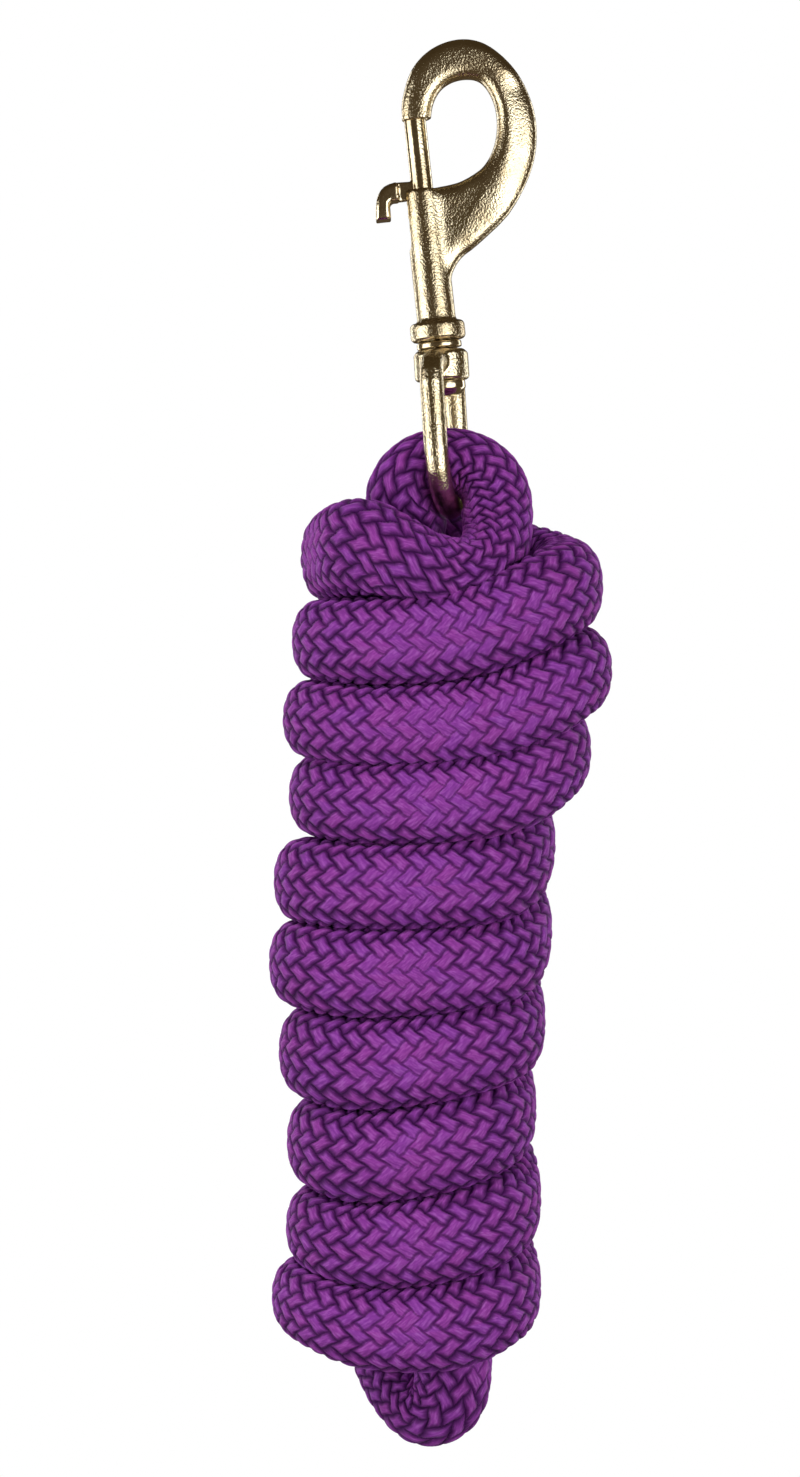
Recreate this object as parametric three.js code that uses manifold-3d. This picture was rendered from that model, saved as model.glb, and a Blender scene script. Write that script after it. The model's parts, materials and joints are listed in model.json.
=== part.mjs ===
// Lead rope for a horse: a swivel bolt snap on a braided rope that is wound into a hank.
// Millimetres, +Z up, +X to the hank's wide side, +Y to the back. The origin is the point
// inside the top of the hook where a halter ring or a peg bears, so the part hangs from it.
import * as THREE from "three";
import { mergeVertices } from "three/addons/utils/BufferGeometryUtils.js";
import Module from "manifold-3d";

const wasm = await Module();
wasm.setup();

// Driving dimensions of the snap. Its own frame has z along the barrel's axis, with x = 0 on
// that axis, and z = 0 level with the bearing point.
const LEAN = THREE.MathUtils.degToRad(6.2); // the barrel's lean when the snap hangs by its hook
const BEARING_X = 10.35; // from the barrel's axis to the bearing point
const CLEARANCE = 0.3; // between pieces that touch or slide

const PLATE = { thickness: 7.4, round: 2.4, steps: 3 };
const TIP = { left: -2.7, right: 3.4, end: -7.5, socketRadius: 2.6, socketFloor: -5.3 };
const BARREL = { radius: 4.1, top: -22, bottom: -50, bore: 2.6 };
const FLANGE = { radius: 5.8, bottom: -54, round: 0.6 };
const SLOT = { width: 3.4, bottom: -34.4 };

const BOLT = { radius: 2.3, top: -6.4, bottom: -28, neckTop: -20.3, neckBottom: -24.1 };
const THUMB = { inner: -7.2, outer: -10.4, bottom: -27.8, width: 7 };

const SPRING = { turns: 8, wire: 0.35, coil: 1.85 };
const STUD = { radius: 2.3, top: -46, headTop: -62.7, headBottom: -65.8, headRadius: 4.6 };
const WASHER = { radius: 4.7, top: -54.3, bottom: -55.6 };

const EYE_TURN = THREE.MathUtils.degToRad(78.5); // the eye's plane, turned from the hook's
const EYE = { bossRadius: 5.75, bossTop: -55.9, bossBottom: -62.4, bar: 2.55, half: 12, corner: 5 };
EYE.top = EYE.bossTop - 0.3 - EYE.bar;
EYE.armTop = EYE.top - EYE.corner;
EYE.bow = -77.05; // where the legs turn into the half round bottom
EYE.hang = THREE.MathUtils.degToRad(2.5); // the loose eye hangs this much nearer to upright

// Driving dimensions of the rope.
const ROPE = 13.6; // thickness of the rope where it bends round the eye and at the bottom
const HANK_TOP = -96;
const HANK_BOTTOM = -266;
const HANK_DEPTH = 25; // half of the hank's depth, front to back
const OVAL = 2.4; // exponent of the wraps' rounded oval
const CREASE = 3.6; // how deep the crease between two wraps is

// Each wrap's left and right edge and the height of its rope at those edges, from the top.
const WRAPS = [
  { left: -33.4, right: 15, leftZ: -101.5, rightZ: -99.5 },
  { left: -35.3, right: 30, leftZ: -117.6, rightZ: -106.3 },
  { left: -37.2, right: 31.9, leftZ: -134, rightZ: -123.9 },
  { left: -35.9, right: 27.5, leftZ: -150, rightZ: -140.7 },
  { left: -39.1, right: 20, leftZ: -168, rightZ: -159.2 },
  { left: -40.1, right: 19.3, leftZ: -185.5, rightZ: -176.8 },
  { left: -38, right: 17.9, leftZ: -204, rightZ: -193.2 },
  { left: -36.3, right: 16, leftZ: -222.6, rightZ: -212.1 },
  { left: -36.5, right: 17, leftZ: -241, rightZ: -231 },
  { left: -39.5, right: 17, leftZ: -256.5, rightZ: -251.6 },
];

// The rope's route round the eye's bar: up from its spliced end, over the bar, and down into
// the first wrap at the front.
const SPLICED_END = { x: -12.5, y: 7, z: -110 };
const LOOP = [
  [SPLICED_END.x, SPLICED_END.y, SPLICED_END.z],
  [-12.5, 7, -104],
  [-12.8, 6.8, -98],
  [-13.2, 4, -92],
  [-12.3, 1.2, -86],
  [-8.8, 0, -81.3],
  [-2.7, -0.4, -79.5],
  [3.4, -1, -81.3],
  [7.2, -2.2, -86],
  [7.9, -4.4, -91.5],
  [6.6, -8, -96.5],
  [2, -13, -100.5],
];

// The rope's turn below the last wrap: down at the back, forward and up into the core.
const BIGHT = [
  [-19, 16.5, -258],
  [-16.5, 14, -264.5],
  [-14, 10, -270.5],
  [-10.5, 4, -276],
  [-5.6, -1, -278.8],
  [-1.2, -3.2, -275.2],
  [0.2, -3.6, -268.5],
  [-0.4, -3, -260],
];

const WHIPPING = { radius: 8.9, top: -99, bottom: -106, turns: 7 };
const TAIL_TIP = { x: -16.5, radius: 6.6, top: -255, bottom: -262.5 };

const BRASS = { color: 0xc9b27c, roughness: 0.24, metalness: 1 };
const STEEL = { color: 0x9a9890, roughness: 0.35, metalness: 1 };
const BRAID = { color: 0x74308a, roughness: 0.85, metalness: 0 };
const THREAD = { color: 0x4d1f60, roughness: 0.7, metalness: 0 };

// Solids and meshes

function solid(geometry) {
  const bare = geometry.index ? geometry.toNonIndexed() : geometry.clone();
  bare.deleteAttribute("normal");
  bare.deleteAttribute("uv");
  const merged = mergeVertices(bare, 1e-4);
  const vertProperties = merged.attributes.position.array;
  const triVerts = new Uint32Array(merged.index.array);
  return new wasm.Manifold(new wasm.Mesh({ numProp: 3, vertProperties, triVerts }));
}

function geometryOf(manifold) {
  const mesh = manifold.getMesh();
  const geometry = new THREE.BufferGeometry();
  geometry.setAttribute("position", new THREE.BufferAttribute(mesh.vertProperties, 3));
  geometry.setIndex(new THREE.BufferAttribute(mesh.triVerts, 1));
  return geometry;
}

function add(group, name, geometry, finish) {
  const mesh = new THREE.Mesh(geometry, new THREE.MeshStandardMaterial(finish));
  mesh.name = name;
  group.add(mesh);
}

function points2(list) {
  return list.map(([x, z]) => new THREE.Vector2(x, z));
}

function smooth2(list, steps) {
  return new THREE.SplineCurve(points2(list)).getPoints(steps);
}

// A solid turned about the z axis from a profile of [radius, z] points, from top to bottom.
function turned(profile, segments = 32) {
  const geometry = new THREE.LatheGeometry(points2(profile).reverse(), segments);
  return geometry.rotateX(Math.PI / 2);
}

function rod(radius, top, bottom, segments = 32) {
  return turned([[0, top], [radius, top], [radius, bottom], [0, bottom]], segments);
}

function block(x, y, z) {
  const geometry = new THREE.BoxGeometry(x[1] - x[0], y[1] - y[0], z[1] - z[0]);
  return geometry.translate((x[0] + x[1]) / 2, (y[0] + y[1]) / 2, (z[0] + z[1]) / 2);
}

// A round bar along a curve, with closed ends.
function bar(curve, radius, sides, steps) {
  const section = new THREE.Shape();
  section.absarc(0, 0, radius, 0, 2 * Math.PI);
  const options = { steps, extrudePath: curve, curveSegments: sides / 2 };
  return new THREE.ExtrudeGeometry(section, options);
}

function routeOf(list) {
  return new THREE.CatmullRomCurve3(list.map((p) => new THREE.Vector3(...p)));
}

// A flat outline in x and z, centred on y = 0, with rounded edges.
function plate(outline, thickness, round, steps) {
  const options = {
    depth: thickness - 2 * round,
    bevelThickness: round,
    bevelSize: round,
    bevelOffset: -round,
    bevelSegments: steps,
    curveSegments: 1,
  };
  const geometry = new THREE.ExtrudeGeometry(new THREE.Shape(outline), options);
  return geometry.translate(0, 0, -options.depth / 2).rotateX(Math.PI / 2);
}

// The snap

// How thick the hook is at a height: full at its bend, thinner in the web and at the tip.
function hookThickness(x, z) {
  const web = THREE.MathUtils.smoothstep(-z, 13, 27);
  const tip = THREE.MathUtils.smoothstep(4.5 - x, 0, 6) * THREE.MathUtils.smoothstep(-z, -4, 7);
  return 1 - 0.24 * web - 0.12 * tip * (1 - web);
}

function hookPlate() {
  const spare = PLATE.round + 0.6; // the tip is made this much too long, and cut off square
  const tip = [
    [TIP.right, TIP.end - spare],
    [TIP.left, TIP.end - spare],
  ];
  const outer = smooth2(
    [
      [TIP.left, TIP.end],
      [-2.2, -2.9],
      [0.5, 3.2],
      [5.2, 7.1],
      [11.2, 8.4],
      [16.8, 6.6],
      [22, 0.9],
      [24.8, -6.2],
      [25.2, -13],
      [23.3, -20.4],
      [18, -28.6],
      [11, -34.3],
      [6.2, -37.6],
      [4, -41],
    ],
    40,
  );
  const insideBarrel = [
    [-0.5, -42.5],
    [-0.5, BARREL.top],
  ];
  const inner = smooth2(
    [
      [3.4, BARREL.top + 0.1],
      [6, -21.7],
      [9.1, -21],
      [13, -18.9],
      [15.6, -15.4],
      [17, -10.6],
      [16.8, -5.4],
      [14.5, -0.9],
      [BEARING_X, 0],
      [6.6, -1.3],
      [4.3, -4.2],
      [TIP.right, TIP.end],
    ],
    30,
  );
  const outline = [...outer, ...points2(insideBarrel), ...inner, ...points2(tip)];
  const geometry = plate(outline, PLATE.thickness, PLATE.round, PLATE.steps);
  const place = geometry.attributes.position;
  for (let i = 0; i < place.count; i++) {
    place.setY(i, place.getY(i) * hookThickness(place.getX(i), place.getZ(i)));
  }
  return geometry;
}

function hookBody() {
  const barrel = turned([
    [0, BARREL.top],
    [BARREL.radius - 0.4, BARREL.top],
    [BARREL.radius, BARREL.top - 0.4],
    [BARREL.radius, BARREL.bottom],
    [FLANGE.radius - FLANGE.round, BARREL.bottom],
    [FLANGE.radius, BARREL.bottom - FLANGE.round],
    [FLANGE.radius, FLANGE.bottom + FLANGE.round],
    [FLANGE.radius - FLANGE.round, FLANGE.bottom],
    [0, FLANGE.bottom],
  ]);
  const half = SLOT.width / 2;
  const slot = block([-BARREL.radius - 2, 0], [-half, half], [SLOT.bottom + half, BARREL.top + 2]);
  const slotEnd = rod(half, 0, -BARREL.radius - 2).rotateY(Math.PI / 2);
  slotEnd.translate(0, 0, SLOT.bottom + half);
  const tipEnd = block([-5, 4.8], [-5, 5], [TIP.end - 5, TIP.end]);
  return solid(hookPlate())
    .add(solid(barrel))
    .subtract(solid(tipEnd))
    .subtract(solid(rod(BARREL.bore, BARREL.top + 1, FLANGE.bottom - 1)))
    .subtract(solid(rod(TIP.socketRadius, TIP.socketFloor, TIP.end - 2)))
    .subtract(solid(slot))
    .subtract(solid(slotEnd));
}

function bolt() {
  const shaft = turned([
    [0, BOLT.top],
    [BOLT.radius - 0.7, BOLT.top],
    [BOLT.radius, BOLT.top - 0.7],
    [BOLT.radius, BOLT.bottom],
    [0, BOLT.bottom],
  ]);
  const bend = smooth2(
    [
      [-5, BOLT.neckTop + 0.2],
      [-8, -20.9],
      [-9.8, -23.4],
      [THUMB.outer, THUMB.bottom],
    ],
    9,
  );
  const lever = [
    [-1, BOLT.neckBottom],
    [-1, BOLT.neckTop],
  ];
  const inside = [
    [THUMB.inner, THUMB.bottom],
    [THUMB.inner + 0.1, BOLT.neckBottom - 0.5],
    [THUMB.inner + 0.6, BOLT.neckBottom],
  ];
  const outline = [...points2(lever), ...bend, ...points2(inside)];
  const half = SLOT.width / 2 - CLEARANCE;
  const slim = block([-6, 0], [-half, half], [BOLT.bottom, BOLT.neckTop + 2]);
  const wide = block([THUMB.outer - 2, -5.2], [-9, 9], [THUMB.bottom - 1, BOLT.neckTop + 2]);
  return solid(plate(outline, THUMB.width, 0.6, 1))
    .intersect(solid(slim).add(solid(wide)))
    .add(solid(shaft));
}

function spring() {
  class Coil extends THREE.Curve {
    getPoint(t) {
      const top = BOLT.bottom - CLEARANCE - SPRING.wire;
      const bottom = STUD.top + CLEARANCE + SPRING.wire;
      const turn = 2 * Math.PI * SPRING.turns * t;
      const z = top + (bottom - top) * t;
      return new THREE.Vector3(SPRING.coil * Math.cos(turn), SPRING.coil * Math.sin(turn), z);
    }
  }
  return bar(new Coil(), SPRING.wire, 6, 10 * SPRING.turns);
}

function swivelStud() {
  return turned([
    [0, STUD.top],
    [STUD.radius, STUD.top],
    [STUD.radius, STUD.headTop],
    [STUD.headRadius, STUD.headTop],
    [STUD.headRadius, STUD.headTop - 1.6],
    [STUD.headRadius - 1.1, STUD.headBottom + 0.4],
    [STUD.headRadius - 2.4, STUD.headBottom],
    [0, STUD.headBottom],
  ]);
}

function washer() {
  const inner = STUD.radius + CLEARANCE;
  return turned([
    [inner, WASHER.top],
    [WASHER.radius, WASHER.top],
    [WASHER.radius, WASHER.bottom],
    [inner, WASHER.bottom],
    [inner, WASHER.top],
  ]);
}

function swivelEye() {
  const boss = turned([
    [0, EYE.bossTop],
    [EYE.bossRadius - 0.9, EYE.bossTop],
    [EYE.bossRadius, EYE.bossTop - 0.9],
    [EYE.bossRadius, EYE.bossBottom + 0.5],
    [EYE.bossRadius - 0.5, EYE.bossBottom],
    [0, EYE.bossBottom],
  ]);
  const path = new THREE.CurvePath();
  const at = (x, z) => new THREE.Vector3(x, 0, z);
  const straight = (from, to) => path.add(new THREE.LineCurve3(from, to));
  const elbow = (from, via, to) => path.add(new THREE.QuadraticBezierCurve3(from, via, to));
  const elbowStart = EYE.half - EYE.corner;
  straight(at(3.6, EYE.top), at(elbowStart, EYE.top));
  elbow(at(elbowStart, EYE.top), at(EYE.half, EYE.top), at(EYE.half, EYE.armTop));
  straight(at(EYE.half, EYE.armTop), at(EYE.half, EYE.bow));
  const bow = (t) => at(EYE.half * Math.cos(t), EYE.bow - EYE.half * Math.sin(t));
  const bowSteps = 10;
  for (let i = 0; i < bowSteps; i++) {
    straight(bow((Math.PI * i) / bowSteps), bow((Math.PI * (i + 1)) / bowSteps));
  }
  straight(at(-EYE.half, EYE.bow), at(-EYE.half, EYE.armTop));
  elbow(at(-EYE.half, EYE.armTop), at(-EYE.half, EYE.top), at(-elbowStart, EYE.top));
  straight(at(-elbowStart, EYE.top), at(-3.6, EYE.top));
  const hole = rod(STUD.radius + CLEARANCE, EYE.bossTop + 1, EYE.bossBottom - 1);
  return solid(boss)
    .add(solid(bar(path, EYE.bar, 14, 48)))
    .subtract(solid(hole));
}

// The rope

function above(geometry, z) {
  return solid(geometry).intersect(solid(block([-60, 60], [-60, 60], [z, z + 200])));
}

function below(geometry, z) {
  return solid(geometry).intersect(solid(block([-60, 60], [-60, 60], [z - 200, z])));
}

// The loop through the eye. Its right leg stops on the hank; its left leg goes down its well.
function ropeLoop() {
  const loop = bar(routeOf(LOOP), ROPE / 2, 12, 34);
  const legs = above(loop, HANK_TOP + CLEARANCE);
  const well = block([-60, SPLICED_END.x + ROPE], [-60, 60], [SPLICED_END.z, HANK_TOP + 2]);
  const shaft = block([SPLICED_END.x - 9, SPLICED_END.x + 9], [-4, 18], [SPLICED_END.z - 5, -90]);
  return legs.add(solid(loop).intersect(solid(well)).intersect(solid(shaft)));
}

function wellSolids() {
  const well = rod(WHIPPING.radius + CLEARANCE, HANK_TOP + 5, SPLICED_END.z - CLEARANCE);
  well.translate(SPLICED_END.x, SPLICED_END.y, 0);
  const socket = rod(TAIL_TIP.radius + CLEARANCE, TAIL_TIP.top + CLEARANCE, HANK_BOTTOM - 5);
  socket.translate(TAIL_TIP.x, 0, 0);
  return [solid(well), solid(socket)];
}

// One closed solid of the wraps' outer shape: an oval ring for each wrap, tilted as the rope
// runs downhill across the front, with a crease between neighbours.
function hank() {
  const unit = 100; // the profile's radius is this plus an offset from the wrap's edge
  const profile = [];
  const rings = [];
  const ring = (radius, wrap, height) => {
    profile.push([radius, -rings.length]);
    rings.push({ wrap, height });
  };
  const wrapAt = (at) => {
    const low = Math.max(0, Math.min(WRAPS.length - 2, Math.floor(at)));
    const share = Math.max(0, Math.min(1, at - low));
    const mix = (key) => WRAPS[low][key] * (1 - share) + WRAPS[low + 1][key] * share;
    return { left: mix("left"), right: mix("right"), leftZ: mix("leftZ"), rightZ: mix("rightZ") };
  };
  ring(0, 0, HANK_TOP);
  ring(unit - CREASE, 0, HANK_TOP);
  WRAPS.forEach((_, i) => {
    ring(unit - 0.8, i - 0.2);
    ring(unit - 0.8, i + 0.2);
    if (i < WRAPS.length - 1) ring(unit - CREASE, i + 0.5);
  });
  ring(unit - CREASE, WRAPS.length - 1, HANK_BOTTOM);
  ring(0, WRAPS.length - 1, HANK_BOTTOM);

  const geometry = turned(profile, 28);
  const place = geometry.attributes.position;
  const bow = (c) => Math.sign(c) * Math.abs(c) ** (2 / OVAL);
  for (let i = 0; i < place.count; i++) {
    const { wrap, height } = rings[Math.round(-place.getZ(i))];
    const { left, right, leftZ, rightZ } = wrapAt(wrap);
    const radius = Math.hypot(place.getX(i), place.getY(i));
    const middle = (left + right) / 2;
    const cos = radius > 1 ? place.getX(i) / radius : 0;
    const sin = radius > 1 ? place.getY(i) / radius : 0;
    const reach = radius > 1 ? radius - unit : 0;
    const across = radius > 1 ? (right - left) / 2 + reach : 0;
    const deep = radius > 1 ? HANK_DEPTH + reach : 0;
    const tilt = (rightZ - leftZ) / 2;
    const overshoot = wrap < 0 ? wrap * (WRAPS[0].leftZ - WRAPS[1].leftZ) : 0;
    const run = (leftZ + rightZ) / 2 + tilt * cos + 0.9 * tilt * sin - overshoot;
    place.setXYZ(i, middle + across * bow(cos), deep * bow(sin), height ?? run);
  }
  return wellSolids().reduce((rest, well) => rest.subtract(well), solid(geometry));
}

function ropeBight() {
  return below(bar(routeOf(BIGHT), ROPE / 2, 12, 24), HANK_BOTTOM - CLEARANCE);
}

function whipping() {
  const inner = ROPE / 2 + CLEARANCE;
  const pitch = (WHIPPING.top - WHIPPING.bottom) / WHIPPING.turns;
  const profile = [[inner, WHIPPING.top]];
  for (let i = 0; i < WHIPPING.turns; i++) {
    profile.push([WHIPPING.radius - 0.35, WHIPPING.top - pitch * (i + 0.02)]);
    profile.push([WHIPPING.radius, WHIPPING.top - pitch * (i + 0.5)]);
  }
  profile.push([WHIPPING.radius - 0.35, WHIPPING.bottom]);
  profile.push([inner, WHIPPING.bottom]);
  profile.push([inner, WHIPPING.top]);
  return turned(profile, 24).translate(SPLICED_END.x, SPLICED_END.y, 0);
}

function tailTip() {
  const { radius, top, bottom } = TAIL_TIP;
  return turned([
    [0, top],
    [radius, top],
    [radius, bottom + 2],
    [radius - 1.6, bottom + 0.6],
    [radius - 3.4, bottom],
    [0, bottom],
  ], 20).translate(TAIL_TIP.x, 0, 0);
}

// The assembly

const snap = new THREE.Group();
snap.rotation.y = -LEAN;
snap.position.set(-BEARING_X * Math.cos(LEAN), 0, -BEARING_X * Math.sin(LEAN));
add(snap, "hook_body", geometryOf(hookBody()), BRASS);
add(snap, "bolt", geometryOf(bolt()), BRASS);
add(snap, "bolt_spring", spring(), STEEL);
add(snap, "swivel_stud", swivelStud(), BRASS);
add(snap, "swivel_washer", washer(), BRASS);

const swivel = new THREE.Group();
const bossMiddle = (EYE.bossTop + EYE.bossBottom) / 2;
swivel.rotation.set(0, EYE.hang, EYE_TURN, "YZX");
swivel.position.set(0, 0, bossMiddle);
add(swivel, "swivel_eye", geometryOf(swivelEye()).translate(0, 0, -bossMiddle), BRASS);
snap.add(swivel);

const rope = new THREE.Group();
add(rope, "rope_eye_loop", geometryOf(ropeLoop()), BRAID);
add(rope, "rope_hank", geometryOf(hank()), BRAID);
add(rope, "rope_bottom_bight", geometryOf(ropeBight()), BRAID);
add(rope, "rope_end_whipping", whipping(), THREAD);
add(rope, "rope_tail_tip", tailTip(), BRAID);

const leadRope = new THREE.Group();
leadRope.add(snap, rope);

export default leadRope;
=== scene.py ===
"""Looks of a horse's lead rope: a brass bolt snap on a braided rope that is wound into a hank.

The metal is a smooth cast skin over the frame's own pieces. The rope is one length, followed from
its spliced end, round the swivel eye, through ten wraps and the bottom turn, to its tail.
"""

import json
import math

import bmesh
import bpy
import numpy as np
from bpy.props import FloatProperty, FloatVectorProperty, IntProperty, PointerProperty
from mathutils import Matrix, Vector


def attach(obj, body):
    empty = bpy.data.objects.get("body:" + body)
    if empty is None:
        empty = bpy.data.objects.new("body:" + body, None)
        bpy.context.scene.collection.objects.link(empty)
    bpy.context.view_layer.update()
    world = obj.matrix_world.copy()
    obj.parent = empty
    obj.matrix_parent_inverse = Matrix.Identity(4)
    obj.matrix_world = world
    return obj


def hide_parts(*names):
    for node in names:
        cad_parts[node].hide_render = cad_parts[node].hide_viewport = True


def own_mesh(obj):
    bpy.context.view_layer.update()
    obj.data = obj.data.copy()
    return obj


bl_info = {
    "name": "Horse lead rope",
    "version": (1, 0, 0),
    "blender": (4, 5, 0),
    "location": "3D View > Sidebar > Lead rope",
    "description": "Builds a braided lead rope, its bolt snap and a plain studio round them",
    "category": "Object",
}

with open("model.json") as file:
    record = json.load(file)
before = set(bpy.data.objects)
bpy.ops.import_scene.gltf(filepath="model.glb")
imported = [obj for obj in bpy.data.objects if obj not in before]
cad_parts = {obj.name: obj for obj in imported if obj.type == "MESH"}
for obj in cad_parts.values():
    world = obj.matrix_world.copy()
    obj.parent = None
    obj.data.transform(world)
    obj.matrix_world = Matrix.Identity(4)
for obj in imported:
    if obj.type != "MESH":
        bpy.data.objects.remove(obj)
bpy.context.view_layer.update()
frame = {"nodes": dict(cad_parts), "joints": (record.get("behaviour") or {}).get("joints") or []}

# Sizes of the snap, in metres. Its own frame has z along the barrel, and x = 0 on its axis.
LEAN = math.radians(6.2)
BEARING_X = 0.01035
TURN = Matrix.Rotation(-LEAN, 4, "Y")
SNAP = TURN @ Matrix.Translation((-BEARING_X, 0, 0))

STUD = {"radius": 0.0023, "top": -0.046, "head_top": -0.0627, "head_bottom": -0.0658, "head": 0.0046}
WASHER = {"radius": 0.0047, "inner": 0.0026, "top": -0.0543, "bottom": -0.0556}
SPRING = {"turns": 8, "wire": 0.00035, "coil": 0.00185, "top": -0.02865, "bottom": -0.04535}
SLOPE_WIDTH = 0.0056  # of the slope down to the closed limb's outer edge
SLOPE = 0.42  # the share of the limb's thickness that the slope takes at that edge
LEVEL = 0.0005  # height of the slices in which the outer edge is found

# The rope, in metres.
ROPE_WIDTH = 0.0155  # from front to back of a wrap; it is wider up and down
ROPE_REACH = ROPE_WIDTH / 2
WRAP_DEPTH = 0.025 - ROPE_REACH  # from the middle of the hank to the rope's centre line
OVAL = 2.4  # exponent of the wraps' plan; 2 is an ellipse
SQUARE = 2.4  # exponent of a pressed wrap's section; 2 is round
STEPS_A_TURN = 36
EARLY_FALL = 0.14  # the share of its fall that a back run has done at its middle
FIRST_RISE = 0.0012  # how much higher the first back run is there
FREE_DEPTH, FREE_HEIGHT = 0.002, 0.0008  # how much farther and fuller it is, with no wrap above it
PRESS = 0.0002  # how far neighbouring wraps press into each other
LAST_HALF = 0.0084  # half of the rope's height where the last wrap goes to the bottom turn
LAST_FALL = 0.0002  # how far it falls there at each step
FILLER_GAP = 0.0018  # from the braid's surface in to its filler
SPLICED_END = (-0.0125, 0.007, -0.110)

# The half round bow of the swivel eye, where the rope bears and swings.
SWING_JOINT = next(joint for joint in frame["joints"] if joint["name"] == "rope_swing")
BOW_BOTTOM = np.array(SWING_JOINT["pos_m"])
BAR_AXIS = np.array(SWING_JOINT["axis"])
BOW_UP = np.array((-BAR_AXIS[2], 0, BAR_AXIS[0])) / math.hypot(BAR_AXIS[0], BAR_AXIS[2])
BOW_SIDE = np.cross(BAR_AXIS, BOW_UP)
BOW_RADIUS = 0.012
BAR_REACH = 0.0028  # the bar's radius and a little air
SWING = math.radians(SWING_JOINT["range_deg"][1] + 1)  # a degree past the end of its swing

WHIPPING = {"radius": 0.0089, "top": -0.099, "bottom": -0.106, "turns": 7}
TAIL_TIP = {
    "x": -0.0165,
    "radius": 0.0066,
    "top": -0.255,
    "bottom": -0.2625,
    "round_high": 0.0024,
    "round_in": 0.0034,
    "sunk": 0.0003,
    "runs": 0.00022,
}

# Each wrap's left and right edge, the height of its rope at those edges, and its height across
# the front at FRONT_PLACES, from the top.
FRONT_PLACES = (0.0105, -0.0021, -0.021)
WRAPS = [
    (-0.0334, 0.015, -0.1000, -0.0995, -0.100, -0.100, -0.100),
    (-0.0353, 0.030, -0.1176, -0.1063, -0.1134, -0.1179, -0.1184),
    (-0.0372, 0.0319, -0.134, -0.1239, -0.1331, -0.1357, -0.1362),
    (-0.0359, 0.0275, -0.150, -0.1407, -0.1490, -0.1513, -0.1520),
    (-0.0391, 0.020, -0.168, -0.1592, -0.1662, -0.1684, -0.1690),
    (-0.0401, 0.0193, -0.1852, -0.1768, -0.1839, -0.1859, -0.1870),
    (-0.038, 0.0179, -0.2037, -0.1932, -0.1997, -0.2035, -0.2060),
    (-0.0363, 0.016, -0.2225, -0.2121, -0.2168, -0.2221, -0.2252),
    (-0.0365, 0.017, -0.2405, -0.231, -0.2360, -0.2409, -0.2436),
    (-0.0395, 0.017, -0.2552, -0.2516, -0.2537, -0.2597, -0.2600),
]

# Routes between the wraps: x, y, z, half of the rope's width in its bend's plane, half across it.
LOOP = [
    (-0.0125, 0.007, -0.110, 0.0070, 0.0070),
    (-0.0123, 0.007, -0.104, 0.0072, 0.0072),
    (-0.0115, 0.0058, -0.098, 0.0080, 0.0082),
    (-0.0112, 0.0032, -0.092, 0.0085, 0.0084),
    (-0.0116, 0.0010, -0.0865, 0.0082, 0.0082),
    (-0.0088, 0, -0.0815, 0.0070, 0.0080),
    (-0.0027, -0.0004, -0.0796, 0.0065, 0.0080),
    (0.0034, -0.001, -0.0813, 0.0068, 0.0080),
    (0.0069, -0.0022, -0.086, 0.0075, 0.0081),
    (0.0078, -0.0044, -0.0922, 0.0074, 0.0081),
    (0.0070, -0.0082, -0.0986, 0.0071, 0.0076),
    (0.0025, -0.0134, -0.1034, 0.0068, 0.0067),
]
FRONT_RUN = [
    (-0.004, -0.0165, -0.1040, 0.00775, 0.0063),
    (-0.009, -0.018, -0.1026, 0.00775, 0.0072),
    (-0.015, -0.0168, -0.1001, 0.00775, 0.0088),
    (-0.021, -0.012, -0.0986, 0.00775, 0.0101),
]
BIGHT = [
    (-0.019, 0.0165, -0.258, 0.0072, 0.0080),
    (-0.0166, 0.0145, -0.2645, 0.0070, 0.0080),
    (-0.0146, 0.0105, -0.2705, 0.0069, 0.0080),
    (-0.0115, 0.0045, -0.2766, 0.0068, 0.0080),
    (-0.0065, -0.001, -0.2799, 0.0070, 0.0081),
    (-0.0024, -0.0040, -0.2764, 0.0077, 0.0080),
    (-0.0014, -0.0045, -0.2690, 0.0080, 0.0078),
    (-0.0014, -0.003, -0.260, 0.0075, 0.0072),
]

# The middle of the two inner runs, up to the first wrap and down again to the tail.
CORE = [
    (-0.002, -0.001, -0.250),
    (-0.0035, 0, -0.235),
    (-0.0035, 0, -0.200),
    (-0.003, 0, -0.165),
    (0.002, 0, -0.151),
    (0.006, 0, -0.141),
    (0.0085, 0, -0.130),
    (0.0085, 0, -0.1215),
    (0.0065, 0, -0.1155),
    (0.0025, 0, -0.1132),
    (-0.0018, 0, -0.1155),
    (-0.004, 0, -0.1215),
    (-0.0045, 0, -0.132),
    (-0.007, 0, -0.142),
    (-0.011, 0, -0.153),
    (-0.0155, 0, -0.165),
    (-0.0165, 0, -0.180),
    (-0.0165, 0, -0.230),
    (-0.0165, 0, -0.2555),
]
CORE_REACH = 0.0064  # half of the rope's width inside the hank

# Where the camera and the lights point.
VIEW_X, VIEW_Z = -0.0126, -0.13829
LIT_Z = -0.14

# The softboxes: name, place from what they light, width, height, power in watts, and whether
# the metal mirrors them.
SOFTBOXES = [
    ("Left softbox", (-0.97, -0.28, -0.14), 0.95, 0.9, 7.2, True),
    ("Right softbox", (0.63, -0.79, -0.10), 0.84, 0.9, 7.2, True),
    ("Top softbox", (-0.25, -0.55, 0.95), 0.5, 0.35, 4.4, False),
    ("Back left strip", (-0.6, 0.85, 0.05), 0.3, 1.0, 2.5, True),
    ("Back right strip", (0.75, 0.7, 0.05), 0.3, 1.0, 2.5, True),
    ("Back softbox", (0.1, 0.95, 0.35), 0.9, 0.7, 5.0, False),
]

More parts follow.
